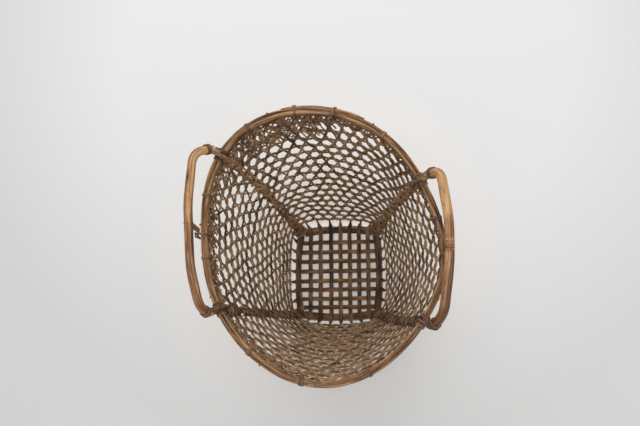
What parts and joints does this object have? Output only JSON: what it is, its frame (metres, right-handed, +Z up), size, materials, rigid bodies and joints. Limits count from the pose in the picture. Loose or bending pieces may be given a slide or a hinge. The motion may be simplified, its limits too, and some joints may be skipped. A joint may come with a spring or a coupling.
{
  "type": "two-handled openwork bamboo carrying basket",
  "caption": "Deep openwork basket of split bamboo: square slatted base, flared net-like wall, oval hooped rim and two raised lashed-on rod handles.",
  "frame": {"origin": "middle of the base, on the surface the basket stands on", "axes": "+Z up towards the mouth, +Y along the mouth's long way (called the back), handles at -X (left) and +X (right)"},
  "size_m": [0.4756, 0.5236, 0.4245],
  "materials": {
    "base_slat": "aged split bamboo, satin",
    "woven_strand": "aged split bamboo, dull",
    "corner_rib": "aged split bamboo, satin",
    "rim_hoop": "aged split bamboo, satin",
    "handle_rod": "hand-polished bamboo rod, semi-gloss",
    "binding_cane": "aged cane, satin"
  },
  "bodies": {
    "root": {"base_border_back": "base_slat", "base_border_front": "base_slat", "base_border_left": "base_slat", "base_border_right": "base_slat", "base_cross_slat_1": "base_slat", "base_cross_slat_2": "base_slat", "base_cross_slat_3": "base_slat", "base_cross_slat_4": "base_slat", "base_cross_slat_5": "base_slat", "base_cross_slat_6": "base_slat", "base_cross_slat_7": "base_slat", "base_cross_slat_8": "base_slat", "base_long_slat_1": "base_slat", "base_long_slat_2": "base_slat", "base_long_slat_3": "base_slat", "base_long_slat_4": "base_slat", "base_long_slat_5": "base_slat", "base_long_slat_6": "base_slat", "base_long_slat_7": "base_slat", "corner_rib_left_back": "corner_rib", "corner_rib_left_front": "corner_rib", "corner_rib_right_back": "corner_rib", "corner_rib_right_front": "corner_rib", "left_handle": "handle_rod", "left_handle_lashing_back": "binding_cane", "left_handle_lashing_front": "binding_cane", "left_handle_mid_tie": "binding_cane", "left_handle_strap": "corner_rib", "right_handle": "handle_rod", "right_handle_lashing_back": "binding_cane", "right_handle_lashing_front": "binding_cane", "right_handle_mid_tie": "binding_cane", "right_handle_strap": "corner_rib", "rim_inner_hoop": "rim_hoop", "rim_outer_hoop": "rim_hoop", "rim_outer_hoop_lap": "rim_hoop", "rim_ties": "binding_cane", "woven_wall": "woven_strand"}
  },
  "joints": []
}
